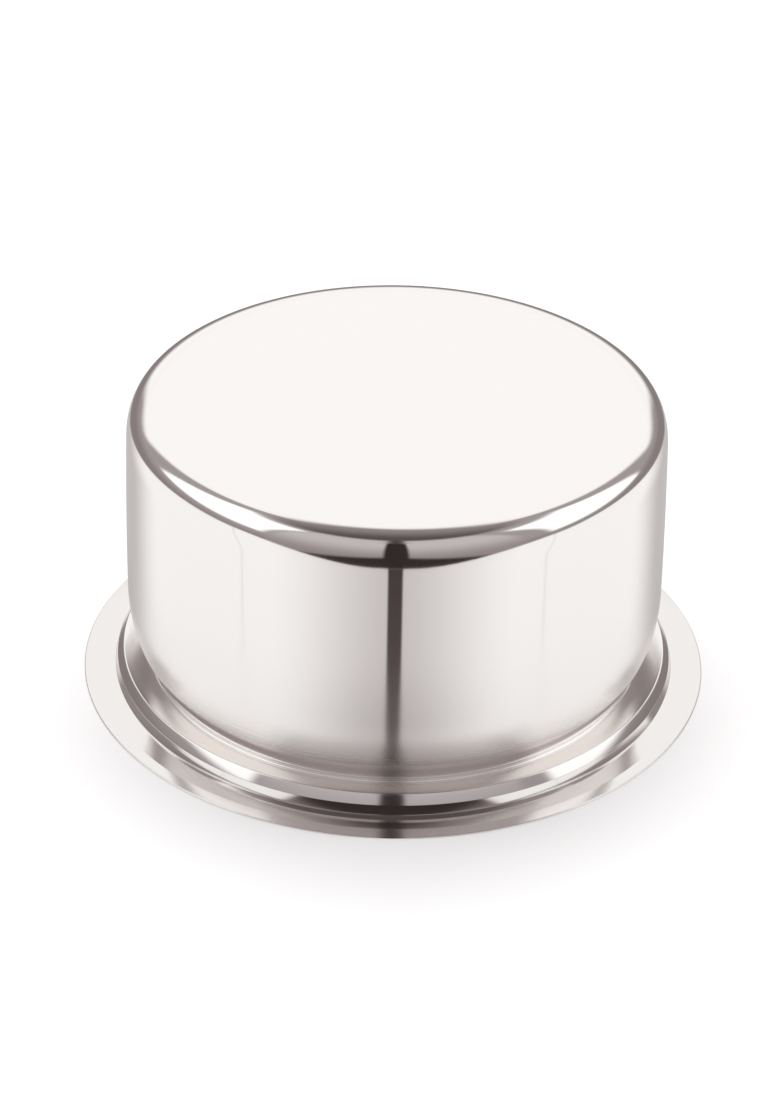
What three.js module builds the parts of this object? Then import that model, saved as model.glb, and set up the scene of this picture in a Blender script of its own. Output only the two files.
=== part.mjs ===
// Handle-less cooking pot of polished stainless steel, lying upside down on its flared rim.
// Millimetres. The rim stands on the XY plane and +Z runs from the mouth to the base.

import * as THREE from 'three';

// Overall form
const height = 102;
const wallRadius = 90.45;
const wallTaper = 1.2;

// Base corner: a quarter of a superellipse between the flat base and the wall
const cornerReach = 14.3;
const cornerHeight = 13.7;
const cornerFullness = 2.82;

// Shoulder: the wall draws in towards the neck, faster and faster
const shoulderRise = 24.4;
const shoulderDrop = 5.8;
const shoulderPower = 2.4;

// Neck and rim, read outwards: groove floor that climbs to a ridge, riser, hollow lip with a flat edge band
const neckRise = 4.5;
const grooveWidth = 10.4;
const grooveClimb = 2.7;
const riserRun = 1.6;
const riserRise = 6.75;
const lipWidth = 11.93;
const lipRise = 0.75;
const lipHollow = 2.5;
const edgeBand = 4;

// Inside radii of the pressed bends
const neckBend = 0.8;
const ridgeBend = 0.5;
const valleyBend = 3.5;

// Share of a straight run that its bends may use up, so that two of them never meet
const bendRoom = 0.98;

// Sheets and the bonded base
const bodySheet = 0.7;
const capSheet = 0.5;
const spreaderThickness = 3;
const spreaderClearance = 0.15;

// Facets
const segments = 72;
const cornerSteps = 10;
const wallSteps = 4;
const shoulderSteps = 7;
const neckSteps = 5;
const ridgeSteps = 4;
const valleySteps = 5;
const lipSteps = 3;

// Heights and radii that follow from the sizes
const valleyHeight = bodySheet + lipRise;
const ridgeHeight = valleyHeight + riserRise;
const neckHeight = ridgeHeight - grooveClimb;
const shoulderEnd = neckHeight + neckRise;
const shoulderStart = shoulderEnd + shoulderRise;
const cornerEnd = height - cornerHeight;
const seamHeight = height - capSheet - spreaderThickness;
const shoulderSlope = shoulderPower * shoulderDrop / shoulderRise;
const neckRadius = wallRadius - shoulderDrop - shoulderSlope * neckRise;
const ridgeRadius = neckRadius + grooveWidth;
const valleyRadius = ridgeRadius + riserRun;
const rimRadius = valleyRadius + lipWidth;

function point(radius, z) {
  return new THREE.Vector2(radius, z);
}

function fractions(count) {
  return Array.from({ length: count + 1 }, (_, i) => i / count);
}

// Outside radius of the barrel-shaped wall, before the base corner and the shoulder are taken off
function barrelRadius(z) {
  const t = (z - shoulderStart) / (height - shoulderStart);
  return wallRadius - wallTaper * t * t;
}

function cornerOutline() {
  return fractions(cornerSteps).map((t) => {
    const across = Math.sin(t * Math.PI / 2) ** (2 / cornerFullness);
    const up = Math.cos(t * Math.PI / 2) ** (2 / cornerFullness);
    const z = cornerEnd + cornerHeight * up;
    return point(barrelRadius(z) - cornerReach * (1 - across), z);
  });
}

function wallOutline() {
  return fractions(wallSteps).slice(1).map((t) => {
    const z = THREE.MathUtils.lerp(cornerEnd, shoulderStart, t);
    return point(barrelRadius(z), z);
  });
}

function shoulderOutline() {
  return fractions(shoulderSteps).slice(1).map((t) => {
    return point(wallRadius - shoulderDrop * t ** shoulderPower, shoulderStart - shoulderRise * t);
  });
}

// Arc that rounds a corner between two straight runs. Two bends on one run share its room.
function bendArc(before, corner, after) {
  const arriving = corner.at.clone().sub(before.at);
  const leaving = after.at.clone().sub(corner.at);
  const turn = arriving.angleTo(leaving);
  const side = Math.sign(arriving.cross(leaving));
  const roomBefore = arriving.length() * bendRoom / (before.bend ? 2 : 1);
  const roomAfter = leaving.length() * bendRoom / (after.bend ? 2 : 1);
  const setback = Math.min(corner.bend * Math.tan(turn / 2), roomBefore, roomAfter);
  const radius = setback / Math.tan(turn / 2);
  const heading = arriving.normalize();
  const start = corner.at.clone().addScaledVector(heading, -setback);
  const centre = start.clone().add(point(-heading.y, heading.x).multiplyScalar(side * radius));
  return fractions(corner.steps).map((t) => start.clone().rotateAround(centre, side * turn * t));
}

// Hollow lip: steep at the foot of the riser and level where the flat edge band begins
function lipOutline() {
  const bandRadius = rimRadius - edgeBand;
  return fractions(lipSteps).slice(1).map((t) => {
    const radius = THREE.MathUtils.lerp(valleyRadius, bandRadius, t);
    return point(radius, bodySheet + lipRise * (1 - t) ** lipHollow);
  });
}

function rimOutline(neckStart) {
  const lip = lipOutline();
  const corners = [
    { at: neckStart },
    { at: point(neckRadius, neckHeight), bend: neckBend, steps: neckSteps },
    { at: point(ridgeRadius, ridgeHeight), bend: ridgeBend + bodySheet, steps: ridgeSteps },
    { at: point(valleyRadius, valleyHeight), bend: valleyBend, steps: valleySteps },
    { at: lip[0] },
  ];
  const arcs = [1, 2, 3].flatMap((i) => bendArc(corners[i - 1], corners[i], corners[i + 1]));
  return [...arcs, ...lip, point(rimRadius, bodySheet)];
}

// The whole outside of the pot, from the centre of the base to the edge of the lip
function outsideOutline() {
  const shoulder = shoulderOutline();
  return [
    point(0, height),
    ...cornerOutline(),
    ...wallOutline(),
    ...shoulder,
    ...rimOutline(shoulder.at(-1)),
  ];
}

function outwardNormal(from, to) {
  return point(from.y - to.y, to.x - from.x).normalize();
}

// An outline moved square to itself towards the inside of the pot
function inset(outline, distance) {
  return outline.map((at, i) => {
    const before = outline[i - 1];
    const after = outline[i + 1];
    const first = outwardNormal(before ?? at, before ? at : after);
    const second = outwardNormal(after ? at : before, after ?? at);
    const shift = distance / (1 + first.dot(second));
    return at.clone().addScaledVector(first, -shift).addScaledVector(second, -shift);
  });
}

// Cuts an outline where it first falls below a height
function cutAt(outline, z) {
  const i = outline.findIndex((at) => at.y < z);
  const share = (z - outline[i].y) / (outline[i - 1].y - outline[i].y);
  const cut = point(THREE.MathUtils.lerp(outline[i].x, outline[i - 1].x, share), z);
  return { above: [...outline.slice(0, i), cut], below: [cut, ...outline.slice(i)] };
}

// A closed solid of revolution between an inner and an outer outline that both start on the axis
function turned(name, inner, outer, material) {
  const profile = [...inner, ...outer.toReversed()];
  const geometry = new THREE.LatheGeometry(profile, segments).rotateX(Math.PI / 2);
  const mesh = new THREE.Mesh(geometry, material);
  mesh.name = name;
  return mesh;
}

const polishedSteel = new THREE.MeshStandardMaterial({ color: 0xe2deda, roughness: 0.08, metalness: 1 });
const capSteel = new THREE.MeshStandardMaterial({ color: 0xe6e3e0, roughness: 0.12, metalness: 1 });
const aluminium = new THREE.MeshStandardMaterial({ color: 0xc2c4c6, roughness: 0.45, metalness: 1 });

// One drawn sheet: floor, wall, shoulder, neck, ridge and lip
function potBody(outside) {
  const outer = [point(0, seamHeight), ...cutAt(outside, seamHeight).below];
  return turned('pot_body', inset(outer, bodySheet), outer, polishedSteel);
}

// Shallow steel dish whose edge stands on the floor of the body and carries the base corner on
function baseCap(outside) {
  const inner = cutAt(inset(outside, capSheet), seamHeight).above;
  return turned('base_cap', inner, cutAt(outside, seamHeight).above, capSteel);
}

// Aluminium disc pressed to the hollow of the cap, between the two steel sheets
function heatSpreader(outside) {
  const hollow = cutAt(inset(outside, capSheet), seamHeight).above;
  const outer = hollow.map((at) => point(Math.max(at.x - spreaderClearance, 0), at.y));
  return turned('heat_spreader', [point(0, seamHeight)], outer, aluminium);
}

const outside = outsideOutline();
const pot = new THREE.Group();
pot.add(potBody(outside), heatSpreader(outside), baseCap(outside));

export default pot;
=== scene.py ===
import math

import bpy
import numpy as np
from mathutils import Matrix, Vector

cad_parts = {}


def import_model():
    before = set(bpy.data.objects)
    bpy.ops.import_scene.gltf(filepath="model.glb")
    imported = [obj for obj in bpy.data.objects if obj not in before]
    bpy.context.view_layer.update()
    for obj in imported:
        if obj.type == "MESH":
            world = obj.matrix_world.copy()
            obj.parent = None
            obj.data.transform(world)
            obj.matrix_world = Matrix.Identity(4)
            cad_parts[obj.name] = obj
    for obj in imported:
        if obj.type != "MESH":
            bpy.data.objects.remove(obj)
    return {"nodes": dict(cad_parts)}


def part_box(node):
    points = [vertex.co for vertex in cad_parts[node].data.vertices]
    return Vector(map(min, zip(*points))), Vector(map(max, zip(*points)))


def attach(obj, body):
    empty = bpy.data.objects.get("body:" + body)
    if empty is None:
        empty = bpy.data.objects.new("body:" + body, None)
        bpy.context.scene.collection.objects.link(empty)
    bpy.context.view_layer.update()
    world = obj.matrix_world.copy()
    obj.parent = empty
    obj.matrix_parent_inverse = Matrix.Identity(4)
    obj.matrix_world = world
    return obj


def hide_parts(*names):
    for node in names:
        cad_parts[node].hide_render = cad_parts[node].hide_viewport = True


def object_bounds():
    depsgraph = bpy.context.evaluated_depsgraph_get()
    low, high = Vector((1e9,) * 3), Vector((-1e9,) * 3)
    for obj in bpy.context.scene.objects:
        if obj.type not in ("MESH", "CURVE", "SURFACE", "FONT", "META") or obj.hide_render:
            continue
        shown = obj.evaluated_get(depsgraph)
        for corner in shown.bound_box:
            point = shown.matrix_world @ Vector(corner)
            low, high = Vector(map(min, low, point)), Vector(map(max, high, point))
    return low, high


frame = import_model()
cad_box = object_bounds()

MM = 0.001

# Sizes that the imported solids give, in millimetres
CAP_LOW, CAP_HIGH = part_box("base_cap")
HEIGHT = CAP_HIGH.z / MM
SEAM_HEIGHT = CAP_LOW.z / MM
RIM_RADIUS = cad_box[1].x / MM

# The pot's outline, in millimetres: barrel wall, base corner, shoulder and neck
WALL_RADIUS = 90.45
WALL_TAPER = 1.2
CORNER_REACH = 14.3
CORNER_HEIGHT = 13.7
CORNER_FULLNESS = 2.82
SHOULDER_RISE = 24.4
SHOULDER_DROP = 5.8
SHOULDER_POWER = 2.4
NECK_RISE = 4.5

# Its rim, read outwards: groove that climbs to a ridge, riser with a crease, and a lip with an inner shelf
# and a sloping outer band
GROOVE_WIDTH = 10.4
GROOVE_CLIMB = 2.7
RIDGE_HEIGHT = 8.2
CREASE_RUN = 2.1
CREASE_DROP = 3.3
FOOT_RUN = 0.75
FOOT_HEIGHT = 1.6
SHELF_RADIUS = 102.3
SHELF_HEIGHT = 1.22

# Sheets, and radii of the pressed bends on the outside of the sheet
BODY_SHEET = 0.7
CAP_SHEET = 0.5
NECK_BEND = 0.8
RIDGE_BEND = 0.6
CREASE_BEND = 0.6
FOOT_BEND = 0.12
SHELF_BEND = 2.5

# Mesh fineness, and the radius below which a point is on the axis
AROUND = 288
FLAT_RINGS = 10
CORNER_STEPS = 56
WALL_STEPS = 24
SHOULDER_STEPS = 36
BEND_STEPS = 12
EDGE_STEPS = 8
ON_AXIS = 1e-6

# Heights and radii that follow from the sizes; the rim's own polish begins at RIM_TOP
NECK_HEIGHT = RIDGE_HEIGHT - GROOVE_CLIMB
RIM_TOP = NECK_HEIGHT + NECK_BEND * 2
SHOULDER_END = NECK_HEIGHT + NECK_RISE
SHOULDER_START = SHOULDER_END + SHOULDER_RISE
CORNER_END = HEIGHT - CORNER_HEIGHT
SHOULDER_SLOPE = SHOULDER_POWER * SHOULDER_DROP / SHOULDER_RISE
NECK_RADIUS = WALL_RADIUS - SHOULDER_DROP - SHOULDER_SLOPE * NECK_RISE
RIDGE_RADIUS = NECK_RADIUS + GROOVE_WIDTH
CREASE_RADIUS = RIDGE_RADIUS + CREASE_RUN
EDGE_RADIUS = RIM_RADIUS - BODY_SHEET / 2


def barrel_radius(z):
    """Radius of the wall before the base corner and the shoulder are taken off."""
    t = (z - SHOULDER_START) / (HEIGHT - SHOULDER_START)
    return WALL_RADIUS - WALL_TAPER * t * t


def corner_point(t):
    """A point of the base corner, from the flat base at t 0 to the wall at t 1."""
    across = math.sin(t * math.pi / 2) ** (2 / CORNER_FULLNESS)
    up = max(math.cos(t * math.pi / 2), 0.0) ** (2 / CORNER_FULLNESS)
    z = CORNER_END + CORNER_HEIGHT * up
    return (barrel_radius(z) - CORNER_REACH * (1 - across), z)


def wall_point(t):
    z = CORNER_END + (SHOULDER_START - CORNER_END) * t
    return (barrel_radius(z), z)


def shoulder_point(t):
    return (WALL_RADIUS - SHOULDER_DROP * t ** SHOULDER_POWER, SHOULDER_START - SHOULDER_RISE * t)


def bend(before, corner, after, radius):
    """The arc that rounds the corner between two straight runs."""
    before, corner, after = Vector(before), Vector(corner), Vector(after)
    heading = (corner - before).normalized()
    leaving = (after - corner).normalized()
    turn = heading.angle(leaving)
    side = math.copysign(1, heading.cross(leaving))
    start = corner - heading * radius * math.tan(turn / 2)
    centre = start + Vector((-heading.y, heading.x)) * side * radius
    arm = start - centre
    turns = [side * turn * i / BEND_STEPS for i in range(BEND_STEPS + 1)]
    return [tuple(centre + Matrix.Rotation(a, 2) @ arm) for a in turns]


def outside_outline():
    """Outside of the pot as (radius, z) points, from the centre of the base to the edge of the lip."""
    flat_radius = corner_point(0)[0]
    points = [(flat_radius * i / FLAT_RINGS, HEIGHT) for i in range(FLAT_RINGS)]
    points += [corner_point(i / CORNER_STEPS) for i in range(CORNER_STEPS)]
    points += [wall_point(i / WALL_STEPS) for i in range(WALL_STEPS)]
    points += [shoulder_point(i / SHOULDER_STEPS) for i in range(SHOULDER_STEPS + 1)]
    neck = (NECK_RADIUS, NECK_HEIGHT)
    ridge = (RIDGE_RADIUS, RIDGE_HEIGHT)
    crease = (CREASE_RADIUS, RIDGE_HEIGHT - CREASE_DROP)
    foot = (CREASE_RADIUS + FOOT_RUN, FOOT_HEIGHT)
    shelf = (SHELF_RADIUS, SHELF_HEIGHT)
    edge = (EDGE_RADIUS, BODY_SHEET)
    points += bend(points[-1], neck, ridge, NECK_BEND)
    points += bend(neck, ridge, crease, RIDGE_BEND)
    points += bend(ridge, crease, foot, CREASE_BEND)
    points += bend(crease, foot, shelf, FOOT_BEND)
    points += bend(foot, shelf, edge, SHELF_BEND)
    points.append(edge)
    return np.array(points)


def outline_normals(points):
    """Outward normals of an outline, each a mean of its two neighbouring runs, the shorter counting more."""
    runs = np.diff(points, axis=0)
    lengths = np.linalg.norm(runs, axis=1)[:, None]
    sides = np.stack([-runs[:, 1], runs[:, 0]], 1) / lengths
    normals = np.empty_like(points)
    normals[0] = (0, 1)
    normals[-1] = sides[-1]
    normals[1:-1] = sides[:-1] / lengths[:-1] + sides[1:] / lengths[1:]
    return normals / np.linalg.norm(normals, axis=1)[:, None]


def cut(points, normals, z):
    """Splits an outline and its normals where it first falls below z."""
    i = int(np.argmax(points[:, 1] < z))
    share = (points[i - 1, 1] - z) / (points[i - 1, 1] - points[i, 1])
    at = points[i - 1] + share * (points[i] - points[i - 1])
    normal = normals[i - 1] + share * (normals[i] - normals[i - 1])
    above = np.vstack([points[:i], at]), np.vstack([normals[:i], normal])
    below = np.vstack([at, points[i:]]), np.vstack([normal, normals[i:]])
    return above, below


def straight_run(start, end, normal):
    return np.array([start, end]), np.array([normal, normal], float)


def edge_run(centre, radius):
    """The half-round edge of a sheet, from its lower face round to its upper face."""
    turns = [math.pi * (i / EDGE_STEPS - 0.5) for i in range(EDGE_STEPS + 1)]
    normals = np.array([(math.cos(a), math.sin(a)) for a in turns])
    return np.array(centre) + radius * normals, normals


def ring_vertices(points, ring):
    """Vertices of an outline turned round the axis, and for each of its points the row of their numbers."""
    vertices, rows = [], []
    for radius, z in points:
        first = len(vertices)
        if radius < ON_AXIS:
            vertices.append((0, 0, z * MM))
            rows.append([first] * AROUND)
        else:
            vertices += [(radius * c * MM, radius * s * MM, z * MM) for c, s in ring]
            rows.append(list(range(first, first + AROUND)))
    return vertices, rows


def ring_faces(segments, rows, ring):
    """Faces between neighbouring rows, with their material numbers and the normals at their corners."""
    faces, numbers, corner_normals = [], [], []
    for i, (start_normal, end_normal, number) in enumerate(segments):
        for j in range(AROUND):
            k = (j + 1) % AROUND
            corners = {}
            for row, column in ((i, j), (i, k), (i + 1, k), (i + 1, j)):
                corners.setdefault(rows[row][column], (row, column))
            faces.append(list(corners))
            numbers.append(number)
            for row, column in corners.values():
                normal = start_normal if row == i else end_normal
                c, s = ring[column]
                corner_normals.append((normal[0] * c, normal[0] * s, normal[1]))
    return faces, numbers, corner_normals


def turned(name, runs, materials):
    """A closed solid of revolution. Each run is (points, normals, material); runs meet at sharp edges."""
    points, segments = [], []
    for run_points, run_normals, material in runs:
        number = materials.index(material)
        for i in range(len(run_points) - 1):
            segments.append((run_normals[i], run_normals[i + 1], number))
            points.append(run_points[i])
    points.append(runs[-1][0][-1])
    turns = [2 * math.pi * i / AROUND for i in range(AROUND)]
    ring = [(math.cos(a), math.sin(a)) for a in turns]
    vertices, rows = ring_vertices(points, ring)
    faces, numbers, corner_normals = ring_faces(segments, rows, ring)
    mesh = bpy.data.meshes.new(name)
    mesh.from_pydata(vertices, [], faces)
    for material in materials:
        mesh.materials.append(material)
    mesh.polygons.foreach_set("material_index", numbers)
    mesh.polygons.foreach_set("use_smooth", [True] * len(faces))
    mesh.normals_split_custom_set(corner_normals)
    mesh.update()
    piece = bpy.data.objects.new(name, mesh)
    bpy.context.scene.collection.objects.link(piece)
    return piece


class Nodes:
    """Short names for the shader nodes that the materials and the world use."""

    def __init__(self, owner):
        owner.use_nodes = True
        self.tree = owner.node_tree
        self.tree.nodes.clear()

    def add(self, kind, **settings):
        node = self.tree.nodes.new(kind)
        for key, value in settings.items():
            setattr(node, key, value)
        return node

    def put(self, socket, value):
        if isinstance(value, bpy.types.NodeSocket):
            self.tree.links.new(value, socket)
        else:
            socket.default_value = value

    def math(self, operation, *values):
        node = self.add("ShaderNodeMath", operation=operation)
        for socket, value in zip(node.inputs, values):
            self.put(socket, value)
        return node.outputs[0]

    def split(self, vector):
        node = self.add("ShaderNodeSeparateXYZ")
        self.put(node.inputs[0], vector)
        return node.outputs

    def ramp(self, value, low, high, start=0.0, end=1.0, smooth=True):
        kind = "SMOOTHSTEP" if smooth else "LINEAR"
        node = self.add("ShaderNodeMapRange", interpolation_type=kind)
        for socket, number in zip(node.inputs, (value, low, high, start, end)):
            self.put(socket, number)
        return node.outputs[0]

    def fade(self, value, low, high):
        return self.ramp(value, low, high, 1.0, 0.0)

    def band(self, value, low, high, soft):
        rise = self.ramp(value, low - soft, low + soft)
        return self.math("MULTIPLY", rise, self.fade(value, high - soft, high + soft))

    def mix(self, kind, factor, first, second):
        """A mix of two numbers (FLOAT) or colours (RGBA). Only the sockets of that kind are enabled."""
        node = self.add("ShaderNodeMix", data_type=kind)
        sockets = [socket for socket in node.inputs if socket.enabled]
        for socket, value in zip(sockets, (factor, first, second)):
            self.put(socket, value)
        return next(socket for socket in node.outputs if socket.enabled)

    def blend(self, factor, first, second):
        return self.mix("FLOAT", factor, first, second)


# Colours of the metals
WALL_COLOUR = (0.885, 0.853, 0.835, 1.0)
# The rim's colour below is the wall's steel made darker: painted shade for the darker reflections on the
# riser and lip.
RIM_PAINTED_SHADE_COLOUR = (0.82, 0.785, 0.77, 1.0)
ALUMINIUM_COLOUR = (0.6, 0.61, 0.62, 1.0)

# Roughness, and the heights and radii in metres between which it and the rim's painted shade change
WALL_HEIGHTS = (0.070, 0.030)
WALL_ROUGHNESS = (0.06, 0.19)
SHOULDER_HEIGHTS = (0.029, 0.021)
SHOULDER_EXTRA = (0.0, 0.08)
NECK_HEIGHTS = (0.0165, 0.0140)
NECK_ROUGHNESS = 0.08
RIM_RADII = (0.090, 0.0935)
RIM_ROUGHNESS = (0.22, 0.09)
RIM_PAINTED_SHADE_RADII = (0.0915, 0.0935)
INSIDE_ROUGHNESS = 0.26
CAP_ROUGHNESS = 0.10
ALUMINIUM_ROUGHNESS = (0.38, 0.52)

# Polishing lines: how far they vary the roughness, how close they are and how deep, in metres
MIRROR_LINES = {"spread": 0.03, "per_metre": 3000.0, "depth": 2e-7}
CAP_LINES = {"spread": 0.04, "per_metre": 3000.0, "depth": 2e-7}
SATIN_LINES = {"spread": 0.08, "per_metre": 2200.0, "depth": 4e-7}
ALUMINIUM_PER_METRE = 1500.0
LINE_DETAIL = 3.0
LINE_MEAN = 0.5
LINE_RANGE = (0.2, 0.8)

# Anisotropy that draws reflections out along the axis
STRETCH = 1.0
QUARTER_TURN = 0.25

# Square of the radius that stands in for the axis, where a direction has no meaning
LEAST_SQUARE = 1e-8


def polar(nodes):
    """Sockets of the distance from the axis, the unit direction round it and the height, in metres."""
    x, y, z = nodes.split(nodes.add("ShaderNodeTexCoord").outputs["Object"])
    squares = nodes.math("ADD", nodes.math("MULTIPLY", x, x), nodes.math("MULTIPLY", y, y))
    radius = nodes.math("SQRT", nodes.math("MAXIMUM", squares, LEAST_SQUARE))
    return radius, nodes.math("DIVIDE", x, radius), nodes.math("DIVIDE", y, radius), z


def polishing_lines(nodes, per_metre):
    """Noise drawn out round the pot's axis, as a polishing wheel leaves it."""
    radius, along_x, along_y, z = polar(nodes)
    place = nodes.add("ShaderNodeCombineXYZ")
    across = nodes.math("MULTIPLY", nodes.math("ADD", radius, z), per_metre)
    for socket, value in zip(place.inputs, (along_x, along_y, across)):
        nodes.put(socket, value)
    noise = nodes.add("ShaderNodeTexNoise")
    nodes.put(noise.inputs["Vector"], place.outputs[0])
    nodes.put(noise.inputs["Scale"], 1.0)
    nodes.put(noise.inputs["Detail"], LINE_DETAIL)
    return noise.outputs["Fac"]


def metal(name):
    material = bpy.data.materials.new(name)
    nodes = Nodes(material)
    shader = nodes.add("ShaderNodeBsdfPrincipled")
    output = nodes.add("ShaderNodeOutputMaterial")
    nodes.put(output.inputs["Surface"], shader.outputs[0])
    nodes.put(shader.inputs["Metallic"], 1.0)
    return material, nodes, shader


def steel(name, colour, ground, spread, per_metre, depth, upright=False):
    """Polished steel: colour(nodes) is its colour, ground(nodes) its roughness before the lines vary it."""
    material, nodes, shader = metal(name)
    nodes.put(shader.inputs["Base Color"], colour(nodes))
    lines = polishing_lines(nodes, per_metre)
    centred = nodes.math("SUBTRACT", lines, LINE_MEAN)
    nodes.put(shader.inputs["Roughness"], nodes.math("MULTIPLY_ADD", centred, spread, ground(nodes)))
    bump = nodes.add("ShaderNodeBump")
    nodes.put(bump.inputs["Height"], lines)
    nodes.put(bump.inputs["Distance"], depth)
    nodes.put(shader.inputs["Normal"], bump.outputs[0])
    if upright:
        stretch_upright(nodes, shader)
    return material


def stretch_upright(nodes, shader):
    """Draws reflections out along the axis, across the lines that polishing leaves round the pot."""
    tangent = nodes.add("ShaderNodeTangent", direction_type="RADIAL", axis="Z")
    nodes.put(shader.inputs["Tangent"], tangent.outputs[0])
    nodes.put(shader.inputs["Anisotropic"], STRETCH)
    nodes.put(shader.inputs["Anisotropic Rotation"], QUARTER_TURN)


def wall_colour(nodes):
    return WALL_COLOUR


def rim_colour_with_painted_shade(nodes):
    """The wall's colour in the groove beside the neck, and on the riser and lip a darker one: painted shade
    for their darker reflections.
    """
    painted_shade_outwards = nodes.ramp(polar(nodes)[0], *RIM_PAINTED_SHADE_RADII, smooth=False)
    return nodes.mix("RGBA", painted_shade_outwards, WALL_COLOUR, RIM_PAINTED_SHADE_COLOUR)


def wall_ground(nodes):
    """A mirror near the base, duller down the wall where the polishing wheel reaches less, and bright again
    at the lower end of the shoulder, beside the neck."""
    z = polar(nodes)[3]
    wall = nodes.ramp(z, *WALL_HEIGHTS, *WALL_ROUGHNESS)
    dulled = nodes.math("ADD", wall, nodes.ramp(z, *SHOULDER_HEIGHTS, *SHOULDER_EXTRA))
    return nodes.blend(nodes.ramp(z, *NECK_HEIGHTS), dulled, NECK_ROUGHNESS)


def rim_ground(nodes):
    """A bright lip and riser; the groove beside the neck is hard to reach and stays duller."""
    return nodes.ramp(polar(nodes)[0], *RIM_RADII, *RIM_ROUGHNESS)


def inside_ground(nodes):
    return INSIDE_ROUGHNESS


def cap_ground(nodes):
    return CAP_ROUGHNESS


def aluminium():
    material, nodes, shader = metal("spreader_aluminium")
    nodes.put(shader.inputs["Base Color"], ALUMINIUM_COLOUR)
    lines = polishing_lines(nodes, ALUMINIUM_PER_METRE)
    nodes.put(shader.inputs["Roughness"], nodes.ramp(lines, *LINE_RANGE, *ALUMINIUM_ROUGHNESS))
    return material


def pot_body(points, normals):
    """The drawn sheet: floor, wall, shoulder, neck and rim, with the inside one sheet's thickness in."""
    polished = steel("polished_steel", wall_colour, wall_ground, **MIRROR_LINES, upright=True)
    inside = steel("satin_inside", wall_colour, inside_ground, **SATIN_LINES)
    # The rim's material carries the painted shade of the riser and lip in its colour.
    bright = steel("polished_rim_painted_shade", rim_colour_with_painted_shade, rim_ground, **MIRROR_LINES)
    wall, rim = cut(points, normals, RIM_TOP)
    outer_floor = straight_run(points[0], (0, SEAM_HEIGHT), (0, 1))
    inner_points = points - BODY_SHEET * normals
    inner_points[0, 1] = SEAM_HEIGHT - BODY_SHEET
    inner_floor = straight_run((0, SEAM_HEIGHT - BODY_SHEET), inner_points[0], (0, -1))
    edge = edge_run((EDGE_RADIUS, BODY_SHEET / 2), BODY_SHEET / 2)
    body = turned("pot_body_skin", [
        (*inner_floor, inside),
        (inner_points, -normals, inside),
        (*edge, bright),
        (rim[0][::-1], rim[1][::-1], bright),
        (wall[0][::-1], wall[1][::-1], polished),
        (*outer_floor, polished),
    ], [polished, inside, bright])
    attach(body, "root")
    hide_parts("pot_body")


def base_cap(points, normals):
    """The steel dish over the heat spreader, hollow below and standing on the floor of the body."""
    cap = steel("cap_steel", wall_colour, cap_ground, **CAP_LINES)
    hollow = points - CAP_SHEET * normals
    shown = hollow[:, 1] > SEAM_HEIGHT
    hollow, hollow_normals = hollow[shown], -normals[shown]
    foot = (hollow[-1, 0], SEAM_HEIGHT)
    dish = turned("base_cap_skin", [
        (hollow, hollow_normals, cap),
        (*straight_run(hollow[-1], foot, hollow_normals[-1]), cap),
        (*straight_run(foot, points[-1], (0, -1)), cap),
        (points[::-1], normals[::-1], cap),
    ], [cap])
    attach(dish, "root")
    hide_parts("base_cap")


def pot():
    points = outside_outline()
    above, below = cut(points, outline_normals(points), SEAM_HEIGHT)
    pot_body(*below)
    base_cap(*above)
    spreader = frame["nodes"]["heat_spreader"]
    spreader.data.materials.clear()
    spreader.data.materials.append(aluminium())


FLOOR_REACH = 30.0
FLOOR_COLOUR = (0.88, 0.88, 0.88, 1.0)
FLOOR_GLOW = 0.12


def floor():
    """White floor. The steel mirrors the studio's own table instead, which ends as the photograph's does."""
    corners = [(x * FLOOR_REACH, y * FLOOR_REACH, 0) for x, y in ((-1, -1), (1, -1), (1, 1), (-1, 1))]
    mesh = bpy.data.meshes.new("floor")
    mesh.from_pydata(corners, [], [(0, 1, 2, 3)])
    material = bpy.data.materials.new("white_floor")
    nodes = Nodes(material)
    diffuse = nodes.add("ShaderNodeBsdfDiffuse")
    nodes.put(diffuse.inputs["Color"], FLOOR_COLOUR)
    glow = nodes.add("ShaderNodeEmission")
    seen = nodes.add("ShaderNodeLightPath").outputs["Is Camera Ray"]
    nodes.put(glow.inputs["Strength"], nodes.math("MULTIPLY", seen, FLOOR_GLOW))
    both = nodes.add("ShaderNodeAddShader")
    nodes.put(both.inputs[0], diffuse.outputs[0])
    nodes.put(both.inputs[1], glow.outputs[0])
    output = nodes.add("ShaderNodeOutputMaterial")
    nodes.put(output.inputs["Surface"], both.outputs[0])
    mesh.materials.append(material)
    ground = bpy.data.objects.new("floor", mesh)
    ground.visible_glossy = False
    bpy.context.scene.collection.objects.link(ground)


# The studio, by direction in degrees. Pairs say between which angles a shade or an edge changes, and from
# what to what; a shade of 1 is white. Triples are the two edges of a light or strip and how soft they are.
# Only CEILING_DEPTHS are no angles: they are the part of a unit direction that points away from the camera.
SIDE_HEIGHTS = (0.0, 18.0)
SIDE_SHADES = (0.26, 0.38)
CEILING_HEIGHTS = (63.0, 69.0)
CEILING_DEPTHS = (0.35, -0.3)
CEILING_SHADES = (0.29, 0.1)
SCREEN_ASIDE = (50.0, 56.0)
SCREEN_TOP = (60.0, 70.0)
SCREEN_HEIGHTS = (-5.0, 48.0)
SCREEN_SHADES = (0.30, 0.58)

LEFT_BOX_ACROSS = (-116.0, -56.0, 2.5)
LEFT_BOX_UP = (19.0, 61.0, 2.5)
RIGHT_BOX_ACROSS = (65.0, 118.0, 2.5)
RIGHT_BOX_UP = (12.0, 57.0, 3.0)
BOX_SHADE = 1.25
BACK_ASIDE = (133.0, 141.0)
BACK_UP = (20.0, 66.0, 5.0)
SWEEP_ASIDE = (151.0, 161.0)
SWEEP_UP = (8.0, 24.0, 6.0)
BACK_SHADE = 1.07

GAP_TOP = 4.5
GAP_FALL = -0.32
GAP_SOFT = 4.0
GAP_ASIDE = (44.0, 52.0)
DARK_SHADE = 0.037

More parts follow.
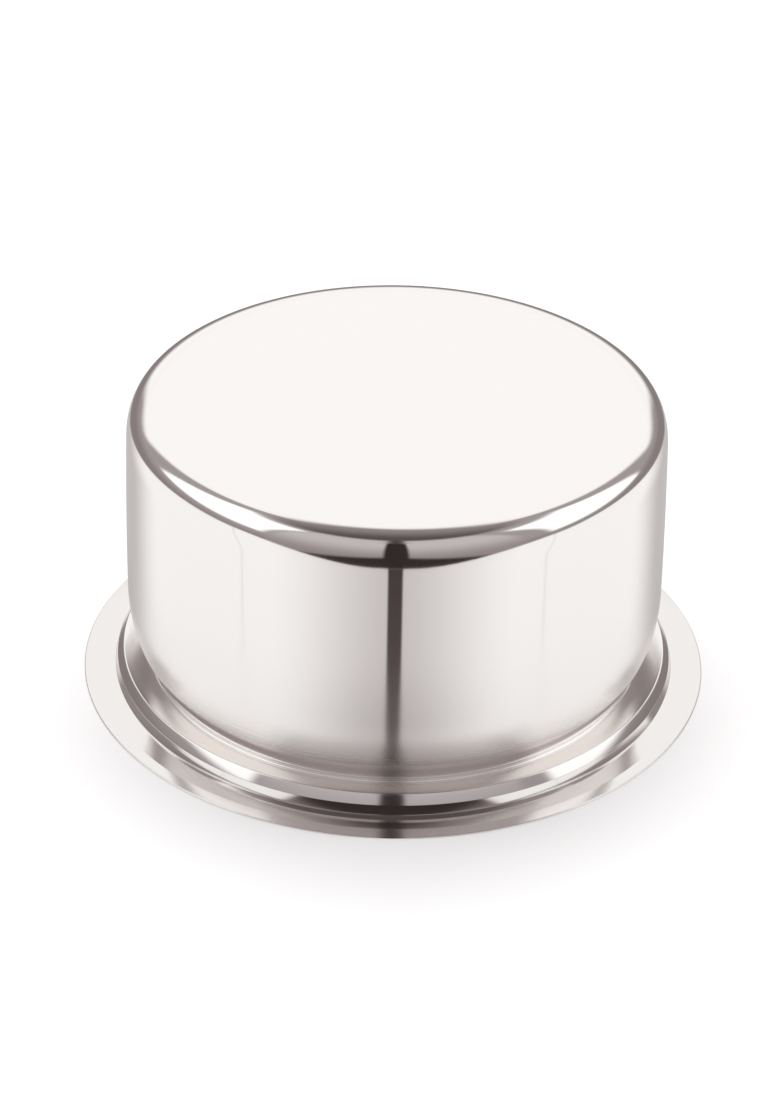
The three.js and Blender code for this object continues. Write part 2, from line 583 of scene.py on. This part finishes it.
TABLE_FRONT_ASIDE = (8.0, 64.0)
TABLE_FRONT_EDGE = (-21.0, 2.0)
TABLE_BACK_ASIDE = (80.0, 175.0)
TABLE_BACK_DROP = (0.0, -22.0)
TABLE_EDGE_SOFT = 1.0
TABLE_ASIDE = (-5.0, 55.0)
TABLE_SHADES = (0.62, 1.03)
TABLE_DIM_ASIDE = (118.0, 150.0)
TABLE_DIM = (1.0, 0.56)
TABLE_NEAR_HEIGHTS = (-60.0, -28.0)
TABLE_NEAR = (0.86, 1.0)
SEAM_AZIMUTHS = (-66.5, 65.5)
SEAM_HALF_WIDTH = 0.6
SEAM_SOFT = 0.4
SEAM_SHADE = 0.9

STRIP_ACROSS = (-4.5, 5.5, 1.0)
STRIP_UP = (-21.0, 68.0, 1.5)
STRIP_FOOT_ACROSS = (-2.7, 3.4, 0.6)
STRIP_FOOT_TOP = (-22.0, -20.5)
STRIP_FOOT_HEIGHTS = (-29.0, -42.0)
STRIP_FOOT_SHADES = (0.065, 0.175)

# Power that makes the shades of the studio warm
WARM_SHADES = 1.09


class Studio:
    """Brightness of the studio by direction. Azimuth 0 is the camera's side, positive to its right; aside is
    its size without the sign, and height the angle above the horizon."""

    def __init__(self, nodes):
        self.nodes = nodes
        x, y, z = nodes.split(nodes.add("ShaderNodeTexCoord").outputs["Generated"])
        self.azimuth = nodes.math("DEGREES", nodes.math("ARCTAN2", x, nodes.math("MULTIPLY", y, -1.0)))
        self.aside = nodes.math("ABSOLUTE", self.azimuth)
        self.height = nodes.math("DEGREES", nodes.math("ARCSINE", z))
        self.depth = y

    def both(self, first, second):
        return self.nodes.math("MULTIPLY", first, second)

    def room(self):
        """Grey sides under a ceiling that darkens towards the camera, and a grey screen behind the camera."""
        nodes = self.nodes
        sides = nodes.ramp(self.height, *SIDE_HEIGHTS, *SIDE_SHADES)
        ceiling = nodes.ramp(self.depth, *CEILING_DEPTHS, *CEILING_SHADES)
        level = nodes.blend(nodes.ramp(self.height, *CEILING_HEIGHTS), sides, ceiling)
        screen = nodes.ramp(self.height, *SCREEN_HEIGHTS, *SCREEN_SHADES)
        on_screen = self.both(nodes.fade(self.aside, *SCREEN_ASIDE), nodes.fade(self.height, *SCREEN_TOP))
        return nodes.blend(on_screen, level, screen)

    def lights(self, level):
        """A soft box on each side, and opposite the camera a white wall that sweeps down to the table."""
        nodes = self.nodes
        left = self.both(nodes.band(self.azimuth, *LEFT_BOX_ACROSS), nodes.band(self.height, *LEFT_BOX_UP))
        right = self.both(nodes.band(self.azimuth, *RIGHT_BOX_ACROSS), nodes.band(self.height, *RIGHT_BOX_UP))
        back = self.both(nodes.ramp(self.aside, *BACK_ASIDE), nodes.band(self.height, *BACK_UP))
        sweep = self.both(nodes.ramp(self.aside, *SWEEP_ASIDE), nodes.band(self.height, *SWEEP_UP))
        for box in (left, right):
            level = nodes.blend(box, level, BOX_SHADE)
        for white in (back, sweep):
            level = nodes.blend(white, level, BACK_SHADE)
        return level

    def gap(self, level):
        """Dark gap between the grey screen and the table, lower to the sides."""
        nodes = self.nodes
        top = nodes.math("MULTIPLY_ADD", self.aside, GAP_FALL, GAP_TOP)
        under = nodes.fade(nodes.math("SUBTRACT", self.height, top), -GAP_SOFT, GAP_SOFT)
        return nodes.blend(self.both(under, nodes.fade(self.aside, *GAP_ASIDE)), level, DARK_SHADE)

    def board(self):
        """White of the table's three boards, with their seams, darker in front, behind and near the pot."""
        nodes = self.nodes
        white = nodes.ramp(self.aside, *TABLE_ASIDE, *TABLE_SHADES)
        white = self.both(white, nodes.ramp(self.aside, *TABLE_DIM_ASIDE, *TABLE_DIM))
        white = self.both(white, nodes.ramp(self.height, *TABLE_NEAR_HEIGHTS, *TABLE_NEAR, smooth=False))
        for azimuth in SEAM_AZIMUTHS:
            edges = (azimuth - SEAM_HALF_WIDTH, azimuth + SEAM_HALF_WIDTH)
            seam = nodes.band(self.azimuth, *edges, SEAM_SOFT)
            white = nodes.blend(seam, white, self.both(white, SEAM_SHADE))
        return white

    def table(self, level):
        """The table that the pot stands on, whose far edge dips in front and behind."""
        nodes = self.nodes
        front = nodes.ramp(self.aside, *TABLE_FRONT_ASIDE, *TABLE_FRONT_EDGE)
        edge = nodes.math("ADD", front, nodes.ramp(self.aside, *TABLE_BACK_ASIDE, *TABLE_BACK_DROP))
        above = nodes.math("SUBTRACT", self.height, edge)
        return nodes.blend(nodes.fade(above, -TABLE_EDGE_SOFT, TABLE_EDGE_SOFT), level, self.board())

    def strip(self, level):
        """Dark upright strip straight behind the camera, paler and narrower where it crosses the table."""
        nodes = self.nodes
        upper = self.both(nodes.band(self.azimuth, *STRIP_ACROSS), nodes.band(self.height, *STRIP_UP))
        level = nodes.blend(upper, level, DARK_SHADE)
        foot_across = nodes.band(self.azimuth, *STRIP_FOOT_ACROSS)
        foot = self.both(foot_across, nodes.fade(self.height, *STRIP_FOOT_TOP))
        shade = nodes.ramp(self.height, *STRIP_FOOT_HEIGHTS, *STRIP_FOOT_SHADES, smooth=False)
        return nodes.blend(foot, level, shade)

    def level(self):
        return self.strip(self.table(self.gap(self.lights(self.room()))))


def world():
    studio = bpy.data.worlds.new("studio")
    bpy.context.scene.world = studio
    nodes = Nodes(studio)
    level = Studio(nodes).level()
    less = nodes.math("POWER", level, WARM_SHADES)
    colour = nodes.add("ShaderNodeCombineColor")
    for socket, value in zip(colour.inputs, (level, less, less)):
        nodes.put(socket, value)
    background = nodes.add("ShaderNodeBackground")
    nodes.put(background.inputs["Color"], colour.outputs[0])
    output = nodes.add("ShaderNodeOutputWorld")
    nodes.put(output.inputs["Surface"], background.outputs[0])


LAMP_STRENGTH = 1.6
LAMP_SPREAD = 50
LAMP_DIRECTION = (0.04, -0.28, -0.96)


def lamp():
    """Soft light from above and behind, which the steel doesn't mirror, for the shadow on the floor."""
    light = bpy.data.lights.new("key", "SUN")
    light.energy = LAMP_STRENGTH
    light.angle = math.radians(LAMP_SPREAD)
    key = bpy.data.objects.new("key", light)
    key.rotation_euler = Vector(LAMP_DIRECTION).to_track_quat("-Z", "Y").to_euler()
    key.visible_glossy = False
    bpy.context.scene.collection.objects.link(key)


# Camera fitted to the photograph, in metres and degrees
CAMERA_PLACE = (0.0, -1.00244, 0.65743)
CAMERA_YAW = -0.0974
CAMERA_PITCH = 31.565
CAMERA_ROLL = 0.9686
FOCAL_PIXELS = 3474.03
IMAGE_HEIGHT = 1108
SENSOR = 36.0


def camera():
    yaw = math.radians(CAMERA_YAW)
    pitch = math.radians(CAMERA_PITCH)
    forward = Vector((math.sin(yaw) * math.cos(pitch), math.cos(yaw) * math.cos(pitch), -math.sin(pitch)))
    right = forward.cross(Vector((0, 0, 1))).normalized()
    up = right.cross(forward)
    roll = Matrix.Rotation(-math.radians(CAMERA_ROLL), 3, forward)
    axes = Matrix((roll @ right, roll @ up, -forward)).transposed()
    data = bpy.data.cameras.new("camera")
    data.lens = FOCAL_PIXELS / IMAGE_HEIGHT * SENSOR
    data.sensor_width = SENSOR
    view = bpy.data.objects.new("camera", data)
    view.matrix_world = Matrix.Translation(CAMERA_PLACE) @ axes.to_4x4()
    bpy.context.scene.collection.objects.link(view)
    bpy.context.scene.camera = view


pot()
floor()
world()
lamp()
camera()
bpy.context.scene.view_settings.view_transform = "Standard"
